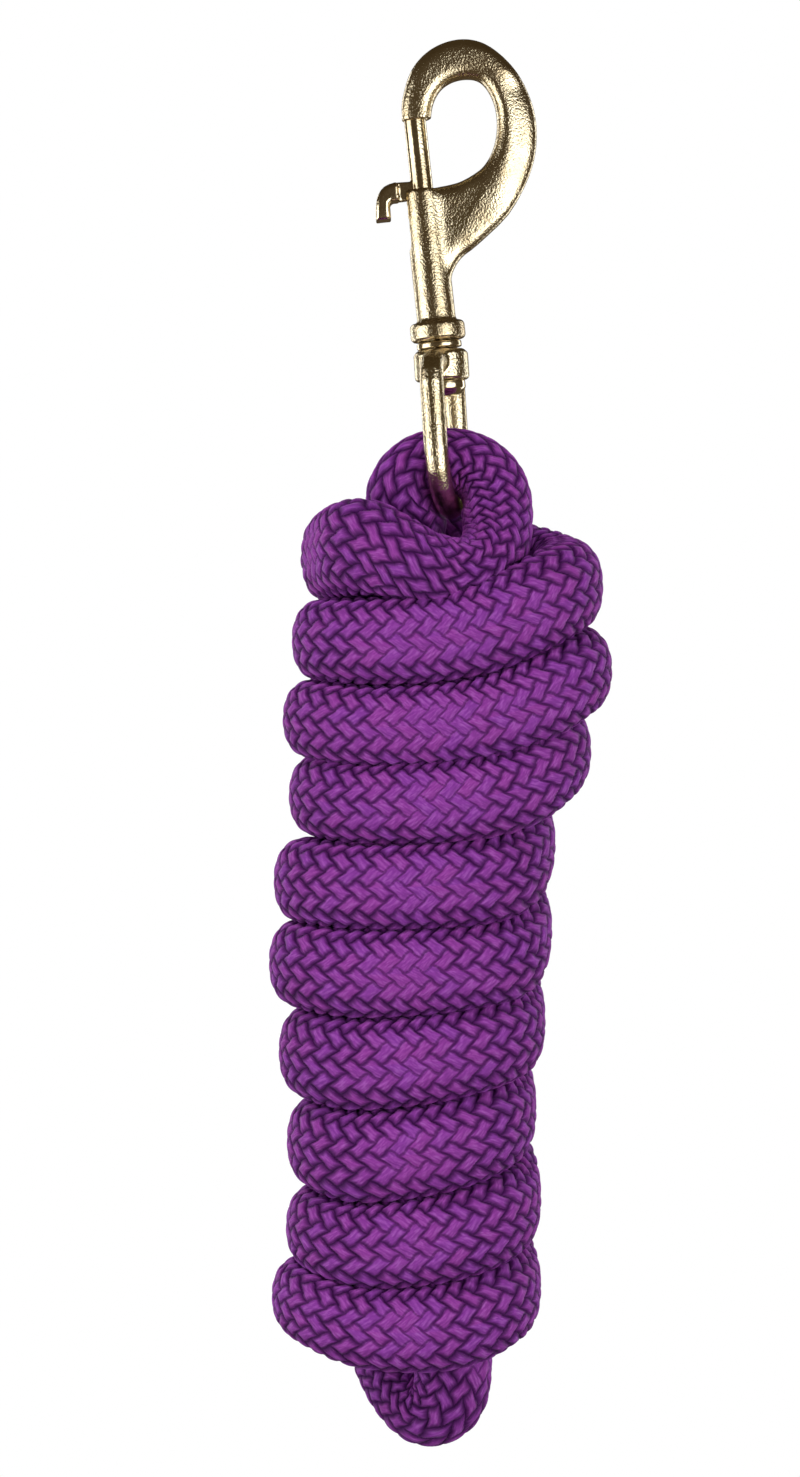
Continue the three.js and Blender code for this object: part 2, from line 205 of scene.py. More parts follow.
# The braid: yarns wind both ways round the rope, each over two and under two.
YARNS = 32
BRAID_STEP = 0.0017  # from one crossing of yarns to the next, along the rope
TIGHT_BEND = 0.012  # radius of a bend that opens the braid fully on its outside
BULGE = 0.09  # how far a yarn swells over the end of the one that dives under it
FINE = 4  # mesh steps from crossing to crossing where the rope shows
COARSE = 2
EVENED = 0.0022  # the length of rope over which its bends are evened out


class RopeLooks(bpy.types.PropertyGroup):
    """Sizes and colours of the rope."""

    relief: FloatProperty(
        name="Yarn relief",
        description="How far the yarns stand out of the gaps between them",
        default=0.0009,
        precision=5,
        subtype="DISTANCE",
        unit="LENGTH",
    )
    lit: FloatVectorProperty(
        name="Yarn", description="Colour of the yarns", default=(0.335, 0.055, 0.398), subtype="COLOR"
    )
    # Painted shade: the dark colour painted into the gaps between yarns, where shade falls.
    shade: FloatVectorProperty(
        name="Gap", description="Colour between yarns", default=(0.05, 0.0035, 0.074), subtype="COLOR"
    )
    thread: FloatVectorProperty(
        name="Thread", description="Colour of the whipping", default=(0.055, 0.012, 0.085), subtype="COLOR"
    )


class SnapLooks(bpy.types.PropertyGroup):
    """Sizes and colours of the snap."""

    skin: FloatProperty(
        name="Casting detail",
        description="Finest detail that the cast skin keeps",
        default=0.00032,
        precision=5,
        subtype="DISTANCE",
        unit="LENGTH",
    )
    softening: IntProperty(
        name="Tumbling", description="How much the edges are rounded by tumbling", default=7, min=0
    )
    plate: FloatVectorProperty(
        name="Plate", description="Colour of the plating", default=(0.82, 0.72, 0.50), subtype="COLOR"
    )
    tarnish: FloatVectorProperty(
        name="Tarnish", description="Colour of the duller plate", default=(0.62, 0.50, 0.31), subtype="COLOR"
    )


class StudioLooks(bpy.types.PropertyGroup):
    """Sizes and colours of the studio."""

    view_height: FloatProperty(
        name="View height",
        description="Height of what the camera sees at the rope",
        default=0.31017,
        subtype="DISTANCE",
        unit="LENGTH",
    )
    lens: FloatProperty(
        name="Lens", description="Focal length", default=110, subtype="DISTANCE_CAMERA"
    )
    floor: FloatVectorProperty(
        name="Floor", description="Colour of the floor", default=(0.9, 0.9, 0.9), subtype="COLOR"
    )


# Meshes


def finish_mesh(bm, name, material, body, replaced=(), sharp=None):
    """Makes a smooth piece of the bmesh, and says what it rides on, replaces and is made of."""
    bmesh.ops.recalc_face_normals(bm, faces=bm.faces)
    mesh = bpy.data.meshes.new(name)
    bm.to_mesh(mesh)
    bm.free()
    return finish_piece(mesh, name, material, body, replaced, sharp)


def finish_piece(mesh, name, material, body, replaced=(), sharp=None):
    """The same for a mesh that is already made. Sharp is the least angle of an edge kept crisp."""
    mesh.shade_smooth()
    if sharp is not None:
        mesh.set_sharp_from_angle(angle=sharp)
    piece = bpy.data.objects.new(name, mesh)
    bpy.context.scene.collection.objects.link(piece)
    mesh.materials.append(material)
    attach(piece, body)
    if replaced:
        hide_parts(*replaced)
    return piece


def turned(profile, segments, bevels=0.0):
    """A bmesh turned about the z axis from [radius, z] points; a closed profile is a ring."""
    bm = bmesh.new()
    line = [bm.verts.new((radius, 0, z)) for radius, z in profile]
    edges = [bm.edges.new(pair) for pair in zip(line, line[1:])]
    if profile[0][0] > 0:
        edges.append(bm.edges.new((line[-1], line[0])))
    bmesh.ops.spin(
        bm,
        geom=line + edges,
        cent=(0, 0, 0),
        axis=(0, 0, 1),
        angle=2 * math.pi,
        steps=segments,
        use_merge=True,
    )
    bmesh.ops.remove_doubles(bm, verts=bm.verts, dist=1e-7)
    if bevels:
        rims = [e for e in bm.edges if len(e.link_faces) == 2 and e.calc_face_angle() > 0.6]
        bmesh.ops.bevel(
            bm,
            geom=rims,
            offset=bevels,
            offset_type="OFFSET",
            segments=3,
            profile=0.5,
            affect="EDGES",
            material=-1,
        )
    return bm


def wound(wire, sides, radius, bottom, pitch, turns, steps_a_turn):
    """A bmesh of wire wound about the z axis, closed at both ends."""
    bm = bmesh.new()
    ring = bmesh.ops.create_circle(bm, segments=sides, radius=wire)["verts"]
    bmesh.ops.rotate(bm, verts=ring, cent=(0, 0, 0), matrix=Matrix.Rotation(math.pi / 2, 3, "X"))
    bmesh.ops.translate(bm, verts=ring, vec=(radius, 0, bottom))
    bmesh.ops.spin(
        bm,
        geom=list(bm.edges),
        cent=(0, 0, 0),
        axis=(0, 0, 1),
        dvec=(0, 0, pitch / steps_a_turn),
        angle=2 * math.pi * turns,
        steps=steps_a_turn * turns,
    )
    bmesh.ops.holes_fill(bm, edges=[e for e in bm.edges if e.is_boundary], sides=0)
    return bm


def fade(value, low, high):
    """How far a value has gone from low to high, from 0 to 1."""
    return min(max((value - low) / (high - low), 0.0), 1.0)


def cast_skin(node, detail, softening, name, material, body, shape=None):
    """A smooth skin over a CAD node's own shape, with its edges rounded as by tumbling. Shape
    works on it further, in the snap's own frame."""
    copy = frame["nodes"][node].data.copy()
    bm = bmesh.new()
    bm.from_mesh(copy)
    bmesh.ops.remove_doubles(bm, verts=bm.verts, dist=1e-6)
    bm.to_mesh(copy)
    bm.free()
    blank = bpy.data.objects.new(name + "_blank", copy)
    bpy.context.scene.collection.objects.link(blank)
    remesh = blank.modifiers.new("skin", "REMESH")
    remesh.mode = "VOXEL"
    remesh.voxel_size = detail
    soften = blank.modifiers.new("soften", "SMOOTH")
    soften.factor = 0.5
    soften.iterations = softening
    depsgraph = bpy.context.evaluated_depsgraph_get()
    mesh = bpy.data.meshes.new_from_object(blank.evaluated_get(depsgraph))
    mesh.name = name
    mesh.materials.clear()
    bpy.data.objects.remove(blank)
    if shape:
        bm = bmesh.new()
        bm.from_mesh(mesh)
        bm.transform(SNAP.inverted())
        shape(bm)
        bm.transform(SNAP)
        bm.to_mesh(mesh)
        bm.free()
    return finish_piece(mesh, name, material, body, [node])


# The rope's route


def oval(angle):
    """Where a wrap's plan is at an angle: its shares of the half width and of the depth."""
    cos, sin = math.cos(angle), math.sin(angle)
    return (
        math.copysign(abs(cos) ** (2 / OVAL), cos),
        math.copysign(abs(sin) ** (2 / OVAL), sin),
    )


def wrap_plan(turn, left, share):
    """Where a wrap's centre line is in plan, from its left end at share 0 round the back."""
    right = WRAPS[turn][1]
    across, deep = oval(math.pi * (1 - 2 * share))
    return (left + right) / 2 + ((right - left) / 2 - ROPE_REACH) * across, WRAP_DEPTH * deep


def wrap_place(step):
    """The wraps' centre line at a step: x, y, its turn, and how far through that turn it is."""
    turn = min(step // STEPS_A_TURN, len(WRAPS) - 2)
    share = step / STEPS_A_TURN - turn
    left = WRAPS[turn][0] * (1 - share) + WRAPS[turn + 1][0] * share
    return *wrap_plan(turn + 1, left, share), turn, share


def wrap_heights():
    """Heights of the wraps' centre line at each step: level at the back until it falls to the
    right end, falling early across the front, and lowest near the left end."""
    heights = []
    for step in range((len(WRAPS) - 1) * STEPS_A_TURN + 1):
        x, _, turn, share = wrap_place(step)
        left, (_, _, lower, right, *front) = WRAPS[turn][2], WRAPS[turn + 1]
        if share < 0.5:
            raised = FIRST_RISE if turn == 0 else 0.0
            keys = (left, left + EARLY_FALL * (right - left) + raised, right)
            heights.append(np.interp(share, (0, 0.25, 0.5), keys))
        else:
            first = wrap_place(turn * STEPS_A_TURN + STEPS_A_TURN // 2)[0]
            places = (first, *FRONT_PLACES, WRAPS[turn + 1][0] + ROPE_REACH)
            heights.append(np.interp(-x, [-place for place in places], (right, *front, lower)))
    return eased(heights, 1.3)


def eased(values, width):
    """The values, smoothed along their first axis, with both ends kept."""
    reach = max(1, int(3 * width))
    kernel = np.exp(-0.5 * (np.arange(-reach, reach + 1) / width) ** 2)
    kernel /= kernel.sum()
    columns = np.asarray(values, float).reshape(len(values), -1)
    result = np.empty_like(columns)
    for i, column in enumerate(columns.T):
        before = 2 * column[0] - column[reach:0:-1]
        after = 2 * column[-1] - column[-2 : -reach - 2 : -1]
        result[:, i] = np.convolve(np.concatenate([before, column, after]), kernel, "valid")
    return result.reshape(np.shape(values))


def wrap_halves(line):
    """Half of the rope's height in each step of the wraps, so that neighbours press together."""
    count = len(line)
    halves = []
    for i in range(count):
        above = line[i - STEPS_A_TURN] - line[i] if i >= STEPS_A_TURN else None
        below = line[i] - line[i + STEPS_A_TURN] if i + STEPS_A_TURN < count else None
        gaps = [gap for gap in (above, below) if gap is not None]
        halves.append(0.5 * sum(gaps) / len(gaps))
    return eased(np.clip(halves, 0.0078, 0.0094), 2)


# The "up" of the rope's cross-section in a wrap and in the loop through the eye.
UP = (0, 0, 1)
FORWARD = (0, -1, 0)


def control_rows():
    """The whole route's points: x, y, z, half width, half height, section's up, squareness."""
    rows = [(*p, *FORWARD, 2.1) for p in LOOP]
    share = np.linspace(0.25, 1, len(FRONT_RUN))
    for p, s in zip(FRONT_RUN, share):
        up = np.array(UP) * s + np.array(FORWARD) * (1 - s)
        rows.append((*p, *up, 2.1 + 0.4 * s))
    line = wrap_heights()
    halves = wrap_halves(line)
    for i, (height, half) in enumerate(zip(line, halves)):
        x, y = wrap_place(i)[:2]
        free = max(0, 1 - i / (0.75 * STEPS_A_TURN))
        if y > 0:
            y += FREE_DEPTH * free
        rows.append((x, y, height, ROPE_REACH, half + PRESS + FREE_HEIGHT * free, *UP, SQUARE))
    for i in range(1, 6):
        x, y = wrap_plan(-1, WRAPS[-1][0], i / STEPS_A_TURN)
        rows.append((x, y, WRAPS[-1][2] - LAST_FALL * i, ROPE_REACH, LAST_HALF, *UP, 2.5))
    for i, p in enumerate(BIGHT):
        side = min(1, i / 3)
        up = np.array(UP) * (1 - side) + np.array((0.5, 1, 0)) * side
        rows.append((*p, *up, 2.1))
    rows += [(*p, CORE_REACH, CORE_REACH, 0.3, 1, 0, 2.0) for p in CORE]
    return np.array(rows, float)


def through(rows, step):
    """Rows evenly spaced along the smooth curve through the given ones."""
    padded = np.vstack([2 * rows[0] - rows[1], rows, 2 * rows[-1] - rows[-2]])
    share = np.linspace(0, 1, 24, endpoint=False)[:, None]
    dense = []
    for a, b, c, d in zip(padded, padded[1:], padded[2:], padded[3:]):
        bent = (2 * a - 5 * b + 4 * c - d) * share**2 + (3 * b - a - 3 * c + d) * share**3
        dense.append(0.5 * (2 * b + (c - a) * share + bent))
    dense = np.vstack([*dense, rows[-1]])
    run = np.concatenate([[0], np.cumsum(np.linalg.norm(np.diff(dense[:, :3], axis=0), axis=1))])
    count = int(run[-1] / step)
    places = np.arange(count + 1) * step
    even = np.stack([np.interp(places, run, column) for column in dense.T], axis=1)
    return eased(even, EVENED / step)


STEP = BRAID_STEP / FINE
ROUTE = through(control_rows(), STEP)


def section_axes(rows):
    """The rope's direction, its section's up and its section's outward side, at each row."""
    along = np.gradient(rows[:, :3], axis=0)
    along /= np.linalg.norm(along, axis=1, keepdims=True)
    up = rows[:, 5:8] - (rows[:, 5:8] * along).sum(axis=1, keepdims=True) * along
    up /= np.linalg.norm(up, axis=1, keepdims=True)
    return along, up, np.cross(up, along)


def yarn_height(u, v):
    """How high the braid stands at u steps round and v steps along the rope, from 0 to 1. Each
    yarn swells over the ends of those that dive under it."""
    a, b = (u + v) / 2, (u - v) / 2
    i, j = np.floor(a), np.floor(b)
    cell = np.mod(i + j, 4)
    first = cell < 2
    across = np.where(first, a - i, b - j)
    along = np.where(first, cell, cell - 2) + np.where(first, b - j, a - i)
    swell = BULGE * np.sin(math.pi * along)
    side = np.minimum(across + np.maximum(swell, 0), 1 - across + np.maximum(-swell, 0))
    end = np.minimum(along, 2 - along) - BULGE * np.sin(math.pi * across)
    near = np.where(end < 0, -2 * end, np.minimum(side, 0.6 * end))
    return np.sqrt(1 - (1 - np.clip(near / 0.5, 0, 1)) ** 2)


def clear_of_bow(places, gap):
    """Press the rope off the eye's half round bow, wherever the rope may swing to."""
    along = (places - BOW_BOTTOM) @ BAR_AXIS
    up, side = (places - BOW_BOTTOM) @ BOW_UP, (places - BOW_BOTTOM) @ BOW_SIDE
    reach, angle = np.hypot(up, side), np.arctan2(side, up)
    swung = np.clip(angle, -SWING, SWING)
    high, past = reach * np.cos(angle - swung), reach * np.sin(angle - swung)
    spread = np.maximum(np.hypot(along, high - BOW_RADIUS), 1e-6)
    near_along = BOW_RADIUS * along / spread
    near_high = BOW_RADIUS + BOW_RADIUS * (high - BOW_RADIUS) / spread
    far = np.sqrt((along - near_along) ** 2 + (high - near_high) ** 2 + past**2)
    keep = BAR_REACH + gap
    push = np.where((far < keep) & (spread < BOW_RADIUS), keep / np.maximum(far, 1e-5), 1)
    along = near_along + (along - near_along) * push
    high, past = near_high + (high - near_high) * push, past * push
    up = high * np.cos(swung) - past * np.sin(swung)
    side = high * np.sin(swung) + past * np.cos(swung)
    moved = BOW_BOTTOM + along[:, None] * BAR_AXIS + up[:, None] * BOW_UP + side[:, None] * BOW_SIDE
    return np.where(push[:, None] > 1, moved, places)


def sleeve_bmesh(first, last, every, around, relief, shrink=0.0):
    """A closed tube along the route's rows from first to last, with the braid's relief. The relief is deeper
    at a wrap's top and bottom edges and on the outside of a bend, where the braid opens;
    the same mask, kept on the mesh, widens the painted shade in the gaps there."""
    rows = ROUTE[first : last + 1 : every]
    along, up, out = section_axes(ROUTE)
    up, out = up[first : last + 1 : every], out[first : last + 1 : every]
    bend = np.linalg.norm(np.gradient(along, STEP, axis=0), axis=1)[first : last + 1 : every]
    bm = bmesh.new()
    bmesh.ops.create_grid(bm, x_segments=around, y_segments=len(rows) - 1, size=0.5)
    mesh = bpy.data.meshes.new("sleeve")
    bm.to_mesh(mesh)
    bm.free()
    co = np.empty(len(mesh.vertices) * 3)
    mesh.vertices.foreach_get("co", co)
    co = co.reshape(-1, 3)
    column = np.rint((co[:, 0] + 0.5) * around).astype(int)
    row = np.rint((co[:, 1] + 0.5) * (len(rows) - 1)).astype(int)
    u = column * YARNS / around
    v = (first + row * every) / FINE
    angle = 2 * math.pi * u / YARNS
    cos, sin = np.cos(angle), np.sin(angle)
    half_out, half_up, square = (rows[row, k] for k in (3, 4, 8))
    reach = ((np.abs(cos) / half_out) ** square + (np.abs(sin) / half_up) ** square) ** (-1 / square)
    # Mask of a wrap's top and bottom edges, where it meets its neighbours: deeper relief, and wider painted
    # shade in the gaps.
    edge = np.clip((np.abs(sin) - 0.48) / 0.45, 0, 1)
    outside = np.clip(cos, 0, 1) * np.clip(bend[row] * TIGHT_BEND, 0, 1)
    opening_and_painted_shade = np.clip(edge + outside, 0, 1)
    depth = relief * (0.35 + 0.75 * opening_and_painted_shade)
    reach = reach - shrink + depth * (yarn_height(u, v) - 0.75)
    place = rows[row, :3] + out[row] * (reach * cos)[:, None] + up[row] * (reach * sin)[:, None]
    mesh.vertices.foreach_set("co", clear_of_bow(place, shrink / 2).ravel())
    corners = np.empty(len(mesh.loops), int)
    mesh.loops.foreach_get("vertex_index", corners)
    layer = mesh.uv_layers.new(name="braid")
    layer.data.foreach_set("uv", np.stack([u[corners], v[corners]], axis=1).ravel())
    mesh.attributes.new("opening_and_painted_shade", "FLOAT", "POINT").data.foreach_set("value", opening_and_painted_shade)
    bm = bmesh.new()
    bm.from_mesh(mesh)
    bpy.data.meshes.remove(mesh)
    bmesh.ops.remove_doubles(bm, verts=[w for w in bm.verts if w.is_boundary], dist=1e-7)
    ends = [e for e in bm.edges if e.is_boundary]
    bmesh.ops.holes_fill(bm, edges=ends, sides=0)
    for e in ends:
        e.smooth = False
    return bm


# Materials


class Nodes:
    """Short ways to add nodes to a tree and join them."""

    def __init__(self, tree):
        self.tree = tree

    def add(self, kind, values=None, **settings):
        node = self.tree.nodes.new(kind)
        for key, value in settings.items():
            setattr(node, key, value)
        for key, value in (values or {}).items():
            self.give(node.inputs[key], value)
        return node

    def give(self, socket, value):
        if isinstance(value, bpy.types.NodeSocket):
            self.tree.links.new(value, socket)
        else:
            socket.default_value = value

    def math(self, operation, *values, clamp=False):
        node = self.tree.nodes.new("ShaderNodeMath")
        node.operation = operation
        node.use_clamp = clamp
        for socket, value in zip(node.inputs, values):
            self.give(socket, value)
        return node.outputs[0]

    def noise(self, place, scale, detail, roughness=0.5):
        values = {"Vector": place, "Scale": scale, "Detail": detail, "Roughness": roughness}
        return self.add("ShaderNodeTexNoise", values).outputs[0]

    def bump(self, height, strength, distance):
        values = {"Height": height, "Strength": strength, "Distance": distance}
        return self.add("ShaderNodeBump", values).outputs[0]

    def mix(self, share, first, second):
        node = self.tree.nodes.new("ShaderNodeMix")
        node.data_type = "RGBA"
        self.give(node.inputs[0], share)
        self.give(node.inputs[6], first)
        self.give(node.inputs[7], second)
        return node.outputs[2]

    def range(self, value, low, high, to_low, to_high, smooth=False):
        node = self.tree.nodes.new("ShaderNodeMapRange")
        if smooth:
            node.interpolation_type = "SMOOTHSTEP"
        for socket, given in zip(node.inputs, (value, low, high, to_low, to_high)):
            self.give(socket, given)
        return node.outputs[0]


def new_group(name, inputs, outputs):
    """An empty node group with its sockets, and helpers for what goes in it."""
    tree = bpy.data.node_groups.new(name, "ShaderNodeTree")
    for socket, kind, value in inputs:
        made = tree.interface.new_socket(socket, in_out="INPUT", socket_type=kind)
        if value is not None:
            made.default_value = value
    for socket, kind in outputs:
        tree.interface.new_socket(socket, in_out="OUTPUT", socket_type=kind)
    nodes = Nodes(tree)
    return nodes, nodes.add("NodeGroupInput").outputs, nodes.add("NodeGroupOutput").inputs


def braid_group():
    """Plaited yarns: where they are open to the light, their fibres, a number for each and their height; the
    rest of the braid gets painted shade.
    Opening_and_painted_shade says how far the braid has opened up, as it does where the rope is bent, and it
    also widens the painted shade in the gaps at a wrap's top and bottom edges."""
    nodes, given, result = new_group(
        "Plaited yarns",
        [("Braid", "NodeSocketVector", None), ("Opening_and_painted_shade", "NodeSocketFloat", 0.0)],
        [
            ("Top", "NodeSocketFloat"),
            ("Fibres", "NodeSocketFloat"),
            ("Yarn", "NodeSocketFloat"),
            ("Height", "NodeSocketFloat"),
        ],
    )
    parts = nodes.add("ShaderNodeSeparateXYZ", {0: given["Braid"]}).outputs
    a = nodes.math("MULTIPLY", nodes.math("ADD", parts[0], parts[1]), 0.5)
    b = nodes.math("MULTIPLY", nodes.math("SUBTRACT", parts[0], parts[1]), 0.5)
    i, j = nodes.math("FLOOR", a), nodes.math("FLOOR", b)
    fa, fb = nodes.math("SUBTRACT", a, i), nodes.math("SUBTRACT", b, j)
    total = nodes.math("ADD", i, j)
    cell = nodes.math("FLOORED_MODULO", total, 4.0)
    second = nodes.math("GREATER_THAN", cell, 1.5)
    across = nodes.math("ADD", fa, nodes.math("MULTIPLY", nodes.math("SUBTRACT", fb, fa), second))
    other = nodes.math("ADD", fb, nodes.math("MULTIPLY", nodes.math("SUBTRACT", fa, fb), second))
    half = nodes.math("SUBTRACT", cell, nodes.math("MULTIPLY", second, 2.0))
    along = nodes.math("ADD", half, other)

    swell = nodes.math("MULTIPLY", nodes.math("SINE", nodes.math("MULTIPLY", along, math.pi)), BULGE)
    bite = nodes.math("MULTIPLY", nodes.math("SINE", nodes.math("MULTIPLY", across, math.pi)), BULGE)
    low = nodes.math("ADD", across, nodes.math("MAXIMUM", swell, 0.0))
    high = nodes.math("SUBTRACT", nodes.math("SUBTRACT", 1.0, across), nodes.math("MINIMUM", swell, 0.0))
    side = nodes.math("MINIMUM", low, high)
    end = nodes.math("SUBTRACT", nodes.math("MINIMUM", along, nodes.math("SUBTRACT", 2.0, along)), bite)
    covered = nodes.math("LESS_THAN", end, 0.0)
    pillow = nodes.math("MINIMUM", side, nodes.math("MULTIPLY", end, 0.6))
    inside = nodes.math("ADD", pillow, nodes.math("MULTIPLY", covered, 9.0))
    near = nodes.math("MINIMUM", inside, nodes.math("ABSOLUTE", nodes.math("MULTIPLY", end, 2.0)))

    uneven = nodes.noise(given["Braid"], 0.35, 2.0)
    # Painted shade: the gaps between yarns are painted dark, wider and darker where the braid is open and at
    # a wrap's top and bottom edges.
    open_up = nodes.math("ADD", given["Opening_and_painted_shade"], nodes.range(uneven, 0.3, 0.7, -0.25, 0.25))
    width = nodes.range(open_up, 0.0, 1.2, 0.09, 0.34, True)
    least = nodes.range(open_up, 0.0, 0.9, 0.58, 0.0, True)
    risen = nodes.math("DIVIDE", near, width, clamp=True)
    nodes.give(result["Top"], nodes.math("MAXIMUM", nodes.math("POWER", risen, 1.4), least))

    yarn = nodes.math("ADD", i, nodes.math("MULTIPLY", nodes.math("SUBTRACT", j, i), second))
    turn = nodes.math("FLOOR", nodes.math("MULTIPLY", nodes.math("ADD", total, 2.0), 0.25))
    seed = nodes.add("ShaderNodeCombineXYZ", {0: yarn, 1: turn, 2: second}).outputs[0]
    number = nodes.add("ShaderNodeTexWhiteNoise", {"Vector": seed}, noise_dimensions="3D").outputs[0]
    nodes.give(result["Yarn"], number)
    lane = nodes.math("ADD", nodes.math("MULTIPLY", across, 5.5), nodes.math("MULTIPLY", number, 37.0))
    slow = nodes.math("ADD", nodes.math("MULTIPLY", along, 1.1), nodes.math("MULTIPLY", number, 19.0))
    fibre = nodes.add("ShaderNodeCombineXYZ", {0: lane, 1: slow, 2: turn}).outputs[0]
    nodes.give(result["Fibres"], nodes.noise(fibre, 1.0, 3.0, 0.65))
    dome = nodes.math("POWER", nodes.math("MULTIPLY", near, 2.0, clamp=True), 0.5)
    nodes.give(result["Height"], dome)
    return nodes.tree


def plate_group():
    """Thin bright plate on brass: patches of duller colour, fine grain and a faint wave."""
    nodes, given, result = new_group(
        "Brass plate",
        [
            ("Bright", "NodeSocketColor", None),
            ("Dull", "NodeSocketColor", None),
            ("Patch", "NodeSocketFloat", 160.0),
            ("Grain", "NodeSocketFloat", 2300.0),
            ("Smooth", "NodeSocketFloat", 0.13),
            ("Rough", "NodeSocketFloat", 0.3),
        ],
        [("Colour", "NodeSocketColor"), ("Roughness", "NodeSocketFloat"), ("Height", "NodeSocketFloat")],
    )
    place = nodes.add("ShaderNodeTexCoord").outputs["Object"]
    patches = nodes.noise(place, given["Patch"], 4.0)
    grain = nodes.noise(place, given["Grain"], 2.0)
    wave = nodes.noise(place, 520.0, 1.0)
    worn = nodes.range(patches, 0.3, 0.75, 0.0, 1.0, True)
    nodes.give(result["Colour"], nodes.mix(worn, given["Bright"], given["Dull"]))
    blend = nodes.math("ADD", nodes.math("MULTIPLY", worn, 0.3), nodes.math("MULTIPLY", grain, 0.7))
    spread = nodes.math("SUBTRACT", given["Rough"], given["Smooth"])
    nodes.give(result["Roughness"], nodes.math("ADD", given["Smooth"], nodes.math("MULTIPLY", spread, blend)))
    nodes.give(result["Height"], nodes.math("ADD", grain, nodes.math("MULTIPLY", wave, 0.15)))
    return nodes.tree


def group(name, make):
    """The node group of that name, made the first time it is asked for."""
    return bpy.data.node_groups.get(name) or make()


def new_material(name):
    """A material, a helper for its nodes and its shader's sockets."""
    material = bpy.data.materials.new(name)
    material.use_nodes = True
    nodes = Nodes(material.node_tree)
    return material, nodes, material.node_tree.nodes["Principled BSDF"].inputs


def tinted(colour, *shares):
    """A colour with its red, green and blue each multiplied by its own share, or all by one."""
    red, green, blue = colour
    by_red, by_green, by_blue = shares if len(shares) == 3 else shares * 3
    return red * by_red, green * by_green, blue * by_blue, 1


def plated_brass(name, smooth, rough, grain, depth):
    """Pale plated brass. The cast pieces have more grain than the drawn and turned ones."""
    found = bpy.data.materials.get(name)
    if found:
        return found
    looks = bpy.context.scene.snap_looks
    material, nodes, shader = new_material(name)
    plate = nodes.add("ShaderNodeGroup", node_tree=group("Brass plate", plate_group))
    plate.inputs["Bright"].default_value = (*looks.plate, 1)
    plate.inputs["Dull"].default_value = (*looks.tarnish, 1)
    plate.inputs["Grain"].default_value = grain
    plate.inputs["Smooth"].default_value = smooth
    plate.inputs["Rough"].default_value = rough
    shader["Metallic"].default_value = 1
    nodes.give(shader["Base Color"], plate.outputs["Colour"])
    nodes.give(shader["Roughness"], plate.outputs["Roughness"])
    nodes.give(shader["Normal"], nodes.bump(plate.outputs["Height"], 1.0, depth))
    return material


def cast_brass():
    return plated_brass("Cast brass plate", 0.13, 0.28, 2300.0, 0.00012)


def spring_wire():
    """Drawn steel wire with faint draw marks along it."""
    material, nodes, shader = new_material("Spring wire")
    place = nodes.add("ShaderNodeTexCoord").outputs["Object"]
    streaks = nodes.noise(place, 2400.0, 3.0)
    nodes.give(shader["Base Color"], nodes.mix(streaks, (0.36, 0.35, 0.33, 1), (0.62, 0.61, 0.58, 1)))
    nodes.give(shader["Roughness"], nodes.range(streaks, 0.3, 0.7, 0.22, 0.42))
    shader["Metallic"].default_value = 1
    return material


def braided_yarn():
    """Purple yarn: painted shade in the gaps, with fine fibres, painted highlights on some of them and a
    slightly different hue in each yarn.
    """
    found = bpy.data.materials.get("Braided yarn")
    if found:
        return found
    looks = bpy.context.scene.rope_looks
    material, nodes, shader = new_material("Braided yarn")
    place = nodes.add("ShaderNodeUVMap", uv_map="braid").outputs[0]
    opening_and_painted_shade = nodes.add("ShaderNodeAttribute", attribute_name="opening_and_painted_shade").outputs["Fac"]
    plait = group("Plaited yarns", braid_group)
    braid = nodes.add("ShaderNodeGroup", {"Braid": place, "Opening_and_painted_shade": opening_and_painted_shade}, node_tree=plait)
    top, fibres, yarn, height = braid.outputs
    body = nodes.mix(yarn, tinted(looks.lit, 1.07, 1.0, 0.97), tinted(looks.lit, 0.93, 1.0, 1.05))
    dark = nodes.range(fibres, 0.62, 0.3, 0.0, 0.6)
    body = nodes.mix(dark, body, tinted(looks.lit, 0.45, 0.4, 0.5))
    # Painted highlight: glints on some fibres, paler and whiter than the yarn.
    bright = nodes.range(fibres, 0.5, 0.72, 0.0, 0.7)
    lit = nodes.mix(bright, body, tinted(looks.lit, 1.3, 2.6, 1.3))
    # Painted shade: the gap colour is painted wherever the yarns are not open to the light.
    nodes.give(shader["Base Color"], nodes.mix(top, (*looks.shade, 1), lit))
    nodes.give(shader["Roughness"], nodes.range(fibres, 0.3, 0.7, 0.6, 0.8))
    shader["Sheen Weight"].default_value = 0.08
    shader["Sheen Roughness"].default_value = 0.4
    shader["Sheen Tint"].default_value = (0.75, 0.45, 0.9, 1)
    shader["Specular IOR Level"].default_value = 0.14
    relief = nodes.math("ADD", height, nodes.math("MULTIPLY", fibres, 0.22))
    nodes.give(shader["Normal"], nodes.bump(relief, 0.9, 0.00032))
    return material


def filler_yarn():
    """The slack yarns that fill the braid, seen only where it is open; they carry the painted gap shade, a
    little lighter in streaks.
    """
    looks = bpy.context.scene.rope_looks
    material, nodes, shader = new_material("Filler yarn")
    place = nodes.add("ShaderNodeUVMap", uv_map="braid").outputs[0]
    stretch = nodes.add("ShaderNodeMapping", {"Vector": place, "Scale": (9.0, 0.35, 1.0)}).outputs[0]
    strands = nodes.noise(stretch, 1.0, 3.0)
    # Painted shade: the filler takes the gaps' shade colour, lighter in streaks.
    nodes.give(shader["Base Color"], nodes.mix(strands, tinted(looks.shade, 1), tinted(looks.shade, 2.2)))
    shader["Roughness"].default_value = 0.85
    nodes.give(shader["Normal"], nodes.bump(strands, 0.6, 0.0003))
    return material


